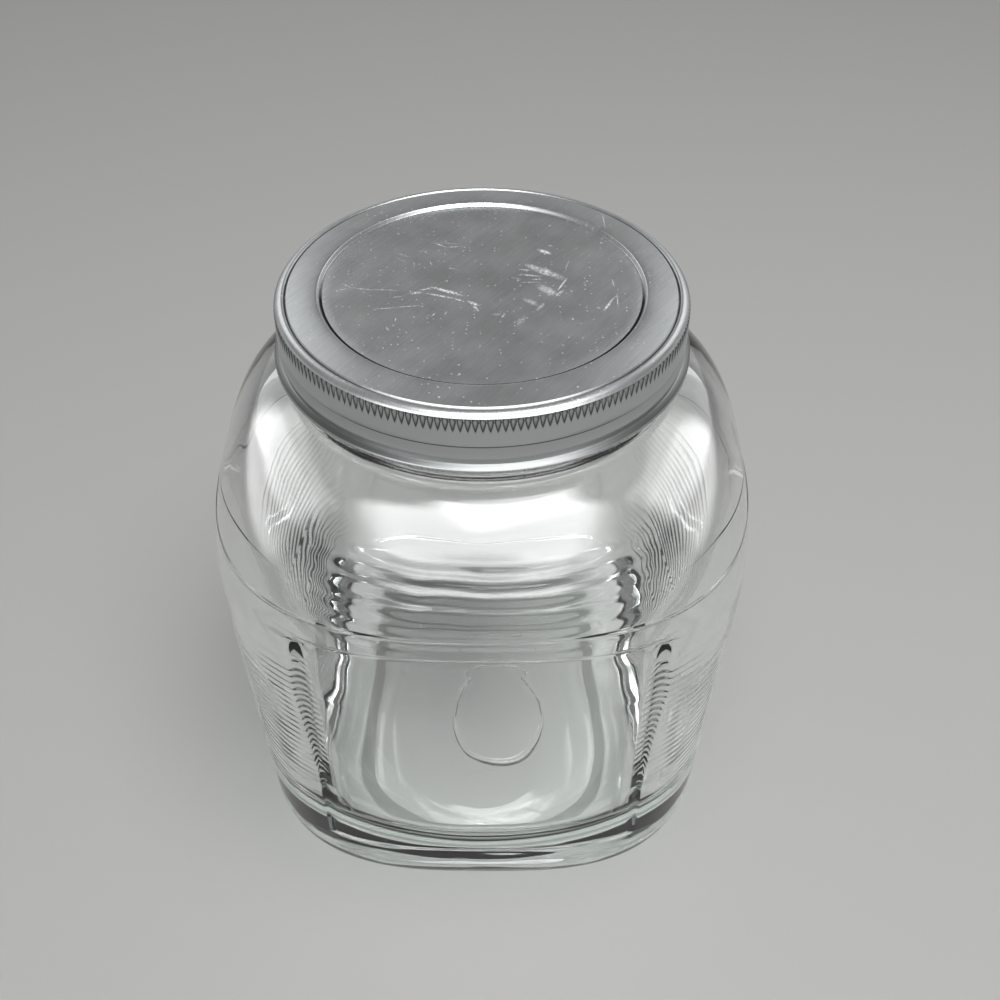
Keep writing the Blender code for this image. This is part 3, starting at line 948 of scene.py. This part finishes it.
def clear_glass(finishes):
    """Soda-lime glass, pressed in an iron mould and fire polished.

    It is colourless and bright where it is thin, and the iron in it shows as a faint green where
    the eye looks a long way through it, at the heel and along the edges. The mould leaves a slow
    waviness that bends reflections. Lamps shine through it, so its shadow stays light.
    """
    made, tree = blank_material("clear_soda_lime_glass")
    place = add_node(tree, "ShaderNodeTexCoord").outputs["Object"]
    slow = add_node(tree, "ShaderNodeTexNoise", {"Vector": place, "Scale": 45.0, "Detail": 0.0})
    bump = add_node(
        tree,
        "ShaderNodeBump",
        {"Height": slow.outputs[0], "Strength": 0.25, "Distance": 0.0006},
    )
    glass = add_node(
        tree,
        "ShaderNodeBsdfPrincipled",
        {"Normal": bump.outputs[0], "Base Color": (1.0, 1.0, 1.0, 1.0)},
    )
    glass.inputs["Roughness"].default_value = finishes.glass_roughness
    glass.inputs["IOR"].default_value = 1.52
    glass.inputs["Transmission Weight"].default_value = 1.0
    lamp = add_node(tree, "ShaderNodeLightPath").outputs["Is Shadow Ray"]
    passed = add_node(tree, "ShaderNodeBsdfTransparent", ((0.93, 0.94, 0.935, 1.0),))
    surface = add_node(
        tree, "ShaderNodeMixShader", (lamp, glass.outputs[0], passed.outputs[0])
    )
    inside = add_node(tree, "ShaderNodeVolumeAbsorption", ((*finishes.glass, 1.0),))
    inside.inputs["Density"].default_value = 9.0
    add_node(
        tree,
        "ShaderNodeOutputMaterial",
        {"Surface": surface.outputs[0], "Volume": inside.outputs[0]},
    )
    return made


# Rubbed strokes on the lid's top: where each starts and ends in the camera's picture, its width in
# millimetres and how bright it is.
STROKES = (
    ((342, 284), (352, 289), 0.7, 0.3),
    ((350, 288), (374, 291), 0.5, 0.45),
    ((372, 290), (399, 291), 0.4, 0.5),
    ((339, 291), (347, 289), 0.5, 0.5),
    ((372, 310), (398, 308), 0.4, 0.5),
    ((396, 308), (423, 306), 0.4, 0.55),
    ((393, 298), (402, 297), 0.35, 0.55),
    ((411, 294), (421, 293), 1.2, 0.6),
    ((420, 291), (433, 288), 0.6, 0.7),
    ((433, 288), (463, 296), 1.2, 1.0),
    ((426, 294), (455, 299), 0.8, 0.8),
    ((454, 299), (464, 302), 0.5, 1.0),
    ((468, 302), (478, 306), 1.1, 0.9),
    ((474, 307), (478, 311), 0.9, 0.7),
    ((433, 243), (447, 248), 0.35, 0.7),
    ((446, 248), (463, 247), 0.35, 0.7),
    ((439, 243), (463, 245), 0.3, 0.55),
    ((396, 253), (410, 258), 0.4, 0.35),
    ((394, 257), (408, 264), 0.4, 0.3),
    ((413, 262), (415, 267), 0.3, 0.4),
    ((430, 262), (432, 266), 0.35, 0.6),
    ((422, 251), (429, 254), 0.3, 0.6),
    ((448, 269), (457, 270), 0.5, 0.6),
    ((540, 251), (549, 254), 1.5, 1.0),
    ((548, 246), (553, 247), 0.4, 0.5),
    ((519, 270), (532, 271), 0.5, 0.6),
    ((519, 275), (541, 277), 0.6, 0.8),
    ((512, 278), (520, 280), 0.6, 0.5),
    ((532, 280), (541, 280), 0.5, 0.6),
    ((521, 283), (540, 283), 0.4, 0.55),
    ((528, 266), (540, 270), 2.0, 0.55),
    ((536, 269), (552, 275), 2.6, 0.75),
    ((546, 272), (562, 279), 2.2, 0.45),
    ((541, 287), (553, 294), 2.8, 0.55),
    ((547, 297), (556, 291), 0.6, 0.7),
    ((555, 297), (563, 291), 0.7, 0.85),
    ((558, 291), (567, 279), 0.5, 1.0),
    ((564, 274), (570, 258), 0.35, 0.4),
    ((525, 300), (537, 305), 1.8, 0.45),
    ((537, 311), (544, 304), 1.0, 0.5),
    ((494, 315), (499, 315), 1.0, 0.4),
    ((502, 318), (505, 314), 0.6, 0.6),
    ((518, 325), (524, 318), 1.8, 0.3),
    ((604, 311), (612, 301), 0.8, 0.75),
    ((607, 305), (617, 296), 0.4, 0.5),
    ((617, 294), (618, 309), 0.35, 0.6),
    ((612, 280), (614, 287), 0.5, 0.45),
    ((597, 308), (600, 309), 0.6, 0.6),
    ((602, 215), (605, 232), 0.35, 0.55),
    ((432, 317), (435, 314), 0.35, 0.7),
    ((444, 316), (447, 312), 0.3, 0.6),
    ((395, 322), (396, 318), 0.4, 0.6),
    ((386, 328), (388, 331), 0.5, 0.6),
)
STROKE_DROP = 1.1 * MM  # depth of the lid's panel in the solids, on which they are placed


def seen_on_lid(across, down):
    """The spot on the lid's panel, in millimetres, that lies at a point of the camera's picture."""
    spread = SENSOR / CAMERA_LENS
    view = Vector(((across / PICTURE - 0.5) * spread, (0.5 - down / PICTURE) * spread, -1.0))
    ray = camera_stand().to_3x3() @ view
    reach = (TOP - STROKE_DROP - CAMERA_PLACE[2]) / ray.z
    spot = Vector(CAMERA_PLACE) + reach * ray
    return round(spot.x / MM, 1), round(spot.y / MM, 1)


def stroke_mask(tree, place):
    """One mask for all strokes: each is a long soft ellipse about its own middle."""
    total = 0.0
    for start, end, width, strength in STROKES:
        (x1, y1), (x2, y2) = seen_on_lid(*start), seen_on_lid(*end)
        reach = math.hypot(x2 - x1, y2 - y1) / 2 + width / 2
        local = add_node(
            tree,
            "ShaderNodeMapping",
            {
                "Vector": place,
                "Location": ((x1 + x2) / 2 * MM, (y1 + y2) / 2 * MM, TOP),
                "Rotation": (0, 0, math.atan2(y2 - y1, x2 - x1)),
                "Scale": (reach * MM, width * 0.6 * MM, 0.01),
            },
            vector_type="TEXTURE",
        ).outputs[0]
        away = add_node(tree, "ShaderNodeVectorMath", (local,), operation="LENGTH")
        mark = add_node(
            tree,
            "ShaderNodeMapRange",
            (away.outputs["Value"], 0.1, 1.3, strength, 0.0),
            interpolation_type="SMOOTHSTEP",
        ).outputs[0]
        total = add_node(tree, "ShaderNodeMath", (total, mark), operation="MAXIMUM").outputs[0]
    return total


def speck_mask(tree, place, size, radius, share):
    """Dots of one radius, in a share of the cells of a grid of this size."""
    cells = add_node(
        tree,
        "ShaderNodeTexVoronoi",
        {"Vector": place, "Scale": 1 / size},
        voronoi_dimensions="2D",
    )
    chance = add_node(tree, "ShaderNodeSeparateColor", (cells.outputs["Color"],)).outputs
    chosen = add_node(
        tree, "ShaderNodeMath", (chance["Red"], 1 - share), operation="GREATER_THAN"
    ).outputs[0]
    dot = add_node(
        tree,
        "ShaderNodeMapRange",
        (cells.outputs["Distance"], 0.5 * radius / size, radius / size, 1.0, 0.0),
    ).outputs[0]
    weight = add_node(tree, "ShaderNodeMath", (dot, chosen), operation="MULTIPLY").outputs[0]
    return add_node(
        tree, "ShaderNodeMath", (weight, chance["Green"]), operation="MULTIPLY"
    ).outputs[0]


GRAIN_ANGLE = math.radians(54)
GRAIN_LIGHT = 1.08  # the grain's brightest and dullest streaks, against the bare metal
GRAIN_DULL = 0.90
# Near-black colour of the painted shade in the step, groove, crease, waist and flutes, and of the
# specks on the curl.
SHADE_AND_SPECKS = (0.012, 0.012, 0.011, 1.0)
CREASE_DROP = 10.25 * MM  # where painted shade lies on the skirt, from the top of the lid
WAIST_DROP = 15.9 * MM


def brushed_aluminium(finishes, sizes):
    """Aluminium sheet, spun, brushed and left bare.

    Fine brush lines run across the top at a slant and draw its highlights out across the grain.
    Handling has left it satin. Rubbed strokes, scratches and specks scatter the light and so look
    nearly white. Painted shade, a near-black colour, darkens a thin ring at the foot of the step
    round the top's panel, heaviest at the front, and thin lines in the groove, the crease and the
    waist, and it outlines the flutes. Dark specks lie on the curl's lower edge.
    """
    made, tree = blank_material("brushed_aluminium")
    place = add_node(tree, "ShaderNodeTexCoord").outputs["Object"]
    turned = add_node(
        tree,
        "ShaderNodeMapping",
        {
            "Vector": place,
            "Rotation": (0, 0, GRAIN_ANGLE),
            "Scale": (9 * MM, 0.28 * MM, 9 * MM),
        },
        vector_type="TEXTURE",
    )
    grain = add_node(
        tree,
        "ShaderNodeTexNoise",
        {"Vector": turned.outputs[0], "Scale": 1.0, "Detail": 2.0, "Roughness": 0.6},
    ).outputs[0]
    fine = add_node(
        tree, "ShaderNodeTexNoise", {"Vector": place, "Scale": 1900.0, "Detail": 2.0}
    ).outputs[0]
    slow = add_node(
        tree, "ShaderNodeTexNoise", {"Vector": place, "Scale": 90.0, "Detail": 3.0}
    ).outputs[0]

    # Rubbed metal: strokes broken up by the grain, two sizes of speck, and a faint haze.
    broken = add_node(tree, "ShaderNodeMapRange", (fine, 0.38, 0.60, 0.2, 1.0)).outputs[0]
    strokes = add_node(
        tree, "ShaderNodeMath", (stroke_mask(tree, place), broken), operation="MULTIPLY"
    ).outputs[0]
    coarse = speck_mask(tree, place, 4.7 * MM, 0.40 * MM, 0.12)
    small = speck_mask(tree, place, 1.7 * MM, 0.28 * MM, 0.22)
    dots = add_node(tree, "ShaderNodeMath", (coarse, small), operation="MAXIMUM").outputs[0]
    spot = add_node(tree, "ShaderNodeSeparateXYZ", (place,)).outputs
    top = add_node(
        tree, "ShaderNodeMapRange", (spot["Z"], TOP - 2.4 * MM, TOP - 2.0 * MM, 0.0, 1.0)
    ).outputs[0]
    weight = add_node(tree, "ShaderNodeMath", (top, 0.45), operation="MULTIPLY").outputs[0]
    faint = add_node(tree, "ShaderNodeMath", (dots, weight), operation="MULTIPLY").outputs[0]
    rubbed = add_node(tree, "ShaderNodeMath", (strokes, faint), operation="MAXIMUM").outputs[0]
    clouds = add_node(tree, "ShaderNodeMapRange", (slow, 0.40, 0.70, 0.0, 0.045)).outputs[0]
    haze = add_node(tree, "ShaderNodeMath", (clouds, top), operation="MULTIPLY").outputs[0]
    rubbed = add_node(tree, "ShaderNodeMath", (rubbed, haze), operation="MAXIMUM").outputs[0]

    # Painted shade: a thin dark ring at the step's foot, heaviest at the front.
    around = add_node(tree, "ShaderNodeVectorMath", (place,), operation="MULTIPLY")
    around.inputs[1].default_value = (1.0, 1.0, 0.0)
    radius = add_node(
        tree, "ShaderNodeVectorMath", (around.outputs[0],), operation="LENGTH"
    ).outputs["Value"]
    foot = sizes.step_radius - 0.1 * MM
    beside = add_node(tree, "ShaderNodeMath", (radius, foot), operation="SUBTRACT").outputs[0]
    away = add_node(tree, "ShaderNodeMath", (beside,), operation="ABSOLUTE").outputs[0]
    ring = add_node(
        tree, "ShaderNodeMapRange", (away, 0.30 * MM, 0.50 * MM, 1.0, 0.0)
    ).outputs[0]
    # Painted shade fades out towards the back, so the dark ring lies on the front half.
    front = add_node(
        tree, "ShaderNodeMapRange", (spot["Y"], -6 * MM, 6 * MM, 1.0, 0.0)
    ).outputs[0]
    shade_and_specks = add_node(tree, "ShaderNodeMath", (ring, front), operation="MULTIPLY").outputs[0]

    # Thin lines of painted shade in the groove, the crease and the waist.
    for source, middle, reach, most in (
        (radius, sizes.groove_radius, 0.30, 0.75),
        (spot["Z"], TOP - CREASE_DROP, 0.42, 0.95),
        (spot["Z"], TOP - WAIST_DROP, 0.6, 0.6),
    ):
        beside = add_node(
            tree, "ShaderNodeMath", (source, middle), operation="SUBTRACT"
        ).outputs[0]
        away = add_node(tree, "ShaderNodeMath", (beside,), operation="ABSOLUTE").outputs[0]
        line = add_node(
            tree, "ShaderNodeMapRange", (away, 0.3 * reach * MM, reach * MM, most, 0.0)
        ).outputs[0]
        shade_and_specks = add_node(tree, "ShaderNodeMath", (shade_and_specks, line), operation="MAXIMUM").outputs[0]

    # Painted shade along the flutes' walls, lighter in their bottoms, and dark specks on the curled
    # edge.
    flute = add_node(tree, "ShaderNodeAttribute", attribute_name="flute").outputs["Fac"]
    walls = add_node(tree, "ShaderNodeMapRange", (flute, 0.02, 0.22, 0.0, 0.85)).outputs[0]
    bottoms = add_node(tree, "ShaderNodeMapRange", (flute, 0.30, 0.70, 1.0, 0.12)).outputs[0]
    flute_shade = add_node(tree, "ShaderNodeMath", (walls, bottoms), operation="MULTIPLY").outputs[0]
    low_edge = add_node(
        tree, "ShaderNodeMapRange", (spot["Z"], TOP - 16.6 * MM, TOP - 16.2 * MM, 0.6, 0.0)
    ).outputs[0]
    pits = add_node(tree, "ShaderNodeMapRange", (fine, 0.54, 0.62, 0.0, 1.0)).outputs[0]
    specks = add_node(tree, "ShaderNodeMath", (pits, low_edge), operation="MULTIPLY").outputs[0]
    for other in (flute_shade, specks):
        shade_and_specks = add_node(tree, "ShaderNodeMath", (shade_and_specks, other), operation="MAXIMUM").outputs[0]

    # Colour: the grain's light and dull streaks, then rubbed metal, then painted shade and the
    # curl's specks.
    light = (*(min(c * GRAIN_LIGHT, 1.0) for c in finishes.metal), 1.0)
    dull = (*(c * GRAIN_DULL for c in finishes.metal), 1.0)
    grain = add_node(
        tree, "ShaderNodeMix", {"Factor": top, "A": 0.5, "B": grain}, data_type="FLOAT"
    ).outputs[0]
    streaked = add_node(tree, "ShaderNodeMapRange", (grain, 0.3, 0.7, 0.0, 1.0)).outputs[0]
    bare = add_node(
        tree, "ShaderNodeMix", {"Factor": streaked, 6: dull, 7: light}, data_type="RGBA"
    ).outputs[2]
    worn = add_node(
        tree,
        "ShaderNodeMix",
        {"Factor": rubbed, 6: bare, 7: (*finishes.scuff, 1.0)},
        data_type="RGBA",
    ).outputs[2]
    # Painted shade: the near-black colour is mixed in by the shade and speck mask.
    shown = add_node(
        tree,
        "ShaderNodeMix",
        {"Factor": shade_and_specks, 6: worn, 7: SHADE_AND_SPECKS},
        data_type="RGBA",
    ).outputs[2]
    low, high = finishes.metal_roughness - 0.01, finishes.metal_roughness + 0.01
    even = add_node(tree, "ShaderNodeMapRange", (slow, 0.3, 0.7, low, high)).outputs[0]
    rough = add_node(
        tree, "ShaderNodeMix", {"Factor": rubbed, "A": even, "B": 0.6}, data_type="FLOAT"
    ).outputs[0]
    bare_share = add_node(
        tree, "ShaderNodeMapRange", (rubbed, 0.0, 1.0, 1.0, 0.35)
    ).outputs[0]
    height = add_node(tree, "ShaderNodeMath", (grain, fine), operation="ADD").outputs[0]
    bump = add_node(
        tree,
        "ShaderNodeBump",
        {"Height": height, "Strength": 0.3, "Distance": 0.00005},
    )
    metal = add_node(
        tree,
        "ShaderNodeBsdfPrincipled",
        {
            "Base Color": shown,
            "Metallic": bare_share,
            "Roughness": rough,
            "Normal": bump.outputs[0],
        },
    )
    add_node(tree, "ShaderNodeOutputMaterial", {"Surface": metal.outputs[0]})
    return made


def pale_floor(finishes):
    """Seamless painted board, rolled matt: an even, pale grey."""
    made, tree = blank_material("pale_board")
    board = add_node(tree, "ShaderNodeBsdfPrincipled", {"Roughness": 0.55})
    board.inputs["Base Color"].default_value = (*finishes.floor, 1.0)
    add_node(tree, "ShaderNodeOutputMaterial", {"Surface": board.outputs[0]})
    return made


# Stage.

CAMERA_PLACE = (0.00496, -0.2906, 0.3636)
CAMERA_PITCH = math.radians(42.09)
CAMERA_ROLL = math.radians(0.33)
CAMERA_LENS = 46.8  # millimetres
SENSOR = 36.0
PICTURE = 1000  # width and height of the camera's picture

# Name, place, size, radiance, and the collection that the lamp is kept to.
LAMPS = (
    ("softbox_top", (0.15, -0.30, 1.2), (1.0, 0.8), 8.0, None),
    ("jar_front", (0.0, -0.66, 0.84), (2.2, 1.15), 7.0, "jar_only"),
    ("jar_left", (-0.89, 0.16, 0.42), (1.1, 0.75), 4.0, "jar_only"),
    ("jar_right", (0.88, 0.16, 0.45), (0.9, 0.75), 4.5, "jar_only"),
    ("lid_front", (0.0, -0.75, 0.72), (2.6, 0.7), 3.0, "lid_only"),
    ("lid_left", (-0.50, 0.74, 0.74), (0.6, 0.6), 1.6, "lid_only"),
    ("lid_right", (0.50, 0.74, 0.74), (0.6, 0.6), 1.6, "lid_only"),
)
LAMP_AIM = (0, 0, 0.12)
FLOOR_REACH = 40.0


def camera_stand():
    """Where the camera stands and how it is turned: tilted down, then rolled."""
    tilt = Matrix.Rotation(QUARTER - CAMERA_PITCH, 4, "X")
    roll = Matrix.Rotation(CAMERA_ROLL, 4, "Z")
    return Matrix.Translation(CAMERA_PLACE) @ tilt @ roll


def add_camera():
    data = bpy.data.cameras.new("camera")
    data.sensor_width = SENSOR
    data.lens = CAMERA_LENS
    data.clip_start = 0.01
    camera = bpy.data.objects.new("camera", data)
    camera.matrix_world = camera_stand()
    bpy.context.scene.collection.objects.link(camera)
    bpy.context.scene.camera = camera


def add_softbox(name, place, size, radiance, only=None):
    """A rectangular lamp that faces the canister and fades out towards its edges.

    Where a collection is given, the lamp shines on its objects only. It then adds highlights to
    them and no light to the floor, neither straight nor through the glass.
    """
    data = bpy.data.lights.new(name, "AREA")
    data.shape = "RECTANGLE"
    data.size, data.size_y = size
    data.energy = radiance * math.pi * size[0] * size[1]
    data.use_nodes = True
    tree = data.node_tree
    tree.nodes.clear()
    spot = add_node(tree, "ShaderNodeNewGeometry").outputs["Parametric"]
    across = add_node(tree, "ShaderNodeSeparateXYZ", (spot,)).outputs
    fade = 1.0
    for axis in ("X", "Y"):
        off = add_node(
            tree, "ShaderNodeMath", (across[axis], 0.5), operation="SUBTRACT"
        ).outputs[0]
        away = add_node(tree, "ShaderNodeMath", (off,), operation="ABSOLUTE").outputs[0]
        edge = add_node(
            tree,
            "ShaderNodeMapRange",
            (away, 0.28, 0.5, 1.0, 0.0),
            interpolation_type="SMOOTHSTEP",
        ).outputs[0]
        fade = add_node(tree, "ShaderNodeMath", (fade, edge), operation="MULTIPLY").outputs[0]
    if only:
        bounces = add_node(tree, "ShaderNodeLightPath").outputs["Diffuse Depth"]
        less = add_node(
            tree, "ShaderNodeMath", (fade, bounces), operation="SUBTRACT"
        ).outputs[0]
        fade = add_node(tree, "ShaderNodeMath", (less, 0.0), operation="MAXIMUM").outputs[0]
    cloth = add_node(tree, "ShaderNodeEmission", {"Strength": fade})
    add_node(tree, "ShaderNodeOutputLight", (cloth.outputs[0],))
    lamp = bpy.data.objects.new(name, data)
    lamp.location = place
    aim = Vector(LAMP_AIM) - Vector(place)
    lamp.rotation_euler = aim.to_track_quat("-Z", "Y").to_euler()
    bpy.context.scene.collection.objects.link(lamp)
    if only:
        lamp.light_linking.receiver_collection = only


# Operators.


class BuildJar(bpy.types.Operator):
    """Make the pressed glass jar"""

    bl_idname = "canister.build_jar"
    bl_label = "Glass Jar"

    def execute(self, context):
        sizes, relief = context.scene.canister_jar, context.scene.canister_relief
        glass = clear_glass(context.scene.canister_finishes)
        piece = jar_mesh(sizes, relief)
        names = relief.bl_rna.properties
        values = {names[key].name: getattr(relief, key) for key in setting_keys(relief)}
        values["Material"] = glass
        run_tree(piece, relief_tree(values), values)
        piece.data.shade_smooth()
        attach(piece, "root")
        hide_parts("jar")
        bpy.data.collections["jar_only"].objects.link(piece)
        return {"FINISHED"}


class BuildLid(bpy.types.Operator):
    """Make the knurled screw lid"""

    bl_idname = "canister.build_lid"
    bl_label = "Screw Lid"

    def execute(self, context):
        sizes = context.scene.canister_lid
        metal = brushed_aluminium(context.scene.canister_finishes, sizes)
        piece = lid_mesh(sizes)
        values = {
            "Flute Depth": sizes.knurl_depth,
            "Flute Top": TOP - 2.0 * MM,
            "Flute Bottom": TOP - 5.9 * MM,
            "Rim Radius": sizes.radius,
            "Flutes": sizes.knurls,
            "Material": metal,
        }
        run_tree(piece, knurl_tree(values), values)
        piece.data.shade_smooth()
        piece.data.set_sharp_from_angle(angle=math.radians(38))
        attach(piece, "root")
        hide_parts("lid")
        bpy.data.collections["lid_only"].objects.link(piece)
        return {"FINISHED"}


class BuildStage(bpy.types.Operator):
    """Make the floor, the lamps, the backdrop light and the camera"""

    bl_idname = "canister.build_stage"
    bl_label = "Stage"

    def execute(self, context):
        data = bpy.data.meshes.new("stage_floor")
        signs = ((-1, -1), (1, -1), (1, 1), (-1, 1))
        corners = [(x * FLOOR_REACH, y * FLOOR_REACH, 0) for x, y in signs]
        data.from_pydata(corners, [], [(0, 1, 2, 3)])
        data.materials.append(pale_floor(context.scene.canister_finishes))
        floor = bpy.data.objects.new("stage_floor", data)
        context.scene.collection.objects.link(floor)
        add_camera()
        groups = {name: bpy.data.collections.new(name) for name in ("jar_only", "lid_only")}
        for name, place, size, radiance, only in LAMPS:
            add_softbox(name, place, size, radiance, groups.get(only))
        world = bpy.data.worlds.new("studio_air")
        world.use_nodes = True
        tree = world.node_tree
        tree.nodes.clear()
        way = add_node(tree, "ShaderNodeTexCoord").outputs["Generated"]
        height = add_node(tree, "ShaderNodeSeparateXYZ", (way,)).outputs["Z"]
        glow = add_node(
            tree,
            "ShaderNodeMapRange",
            (height, 0.08, 0.45, 0.72, 0.26),
            interpolation_type="SMOOTHSTEP",
        ).outputs[0]
        air = add_node(tree, "ShaderNodeBackground", {"Strength": glow})
        air.inputs["Color"].default_value = (1.0, 1.0, 1.01, 1.0)
        add_node(tree, "ShaderNodeOutputWorld", {"Surface": air.outputs[0]})
        context.scene.world = world
        context.scene.view_settings.view_transform = "Standard"
        return {"FINISHED"}


class CanisterPanel(bpy.types.Panel):
    """Lists the pieces of the canister with their sizes"""

    bl_idname = "CANISTER_PT_pieces"
    bl_label = "Square Glass Canister"
    bl_space_type = "VIEW_3D"
    bl_region_type = "UI"
    bl_category = "Canister"

    def draw(self, context):
        for group in GROUPS:
            box = self.layout.box()
            settings = getattr(context.scene, group)
            for key in setting_keys(settings):
                box.prop(settings, key)
        for operator in OPERATORS:
            self.layout.operator(operator.bl_idname)


OPERATORS = (BuildStage, BuildJar, BuildLid)
GROUPS = {
    "canister_jar": JarSizes,
    "canister_relief": ReliefSizes,
    "canister_lid": LidSizes,
    "canister_finishes": Finishes,
}


def register():
    for kind in (*GROUPS.values(), *OPERATORS, CanisterPanel):
        bpy.utils.register_class(kind)
    for name, kind in GROUPS.items():
        setattr(bpy.types.Scene, name, bpy.props.PointerProperty(type=kind))


def unregister():
    for name in GROUPS:
        delattr(bpy.types.Scene, name)
    for kind in (CanisterPanel, *OPERATORS[::-1], *list(GROUPS.values())[::-1]):
        bpy.utils.unregister_class(kind)


def main():
    register()
    bpy.ops.canister.build_stage()
    bpy.ops.canister.build_jar()
    bpy.ops.canister.build_lid()


if __name__ == "__main__":
    main()
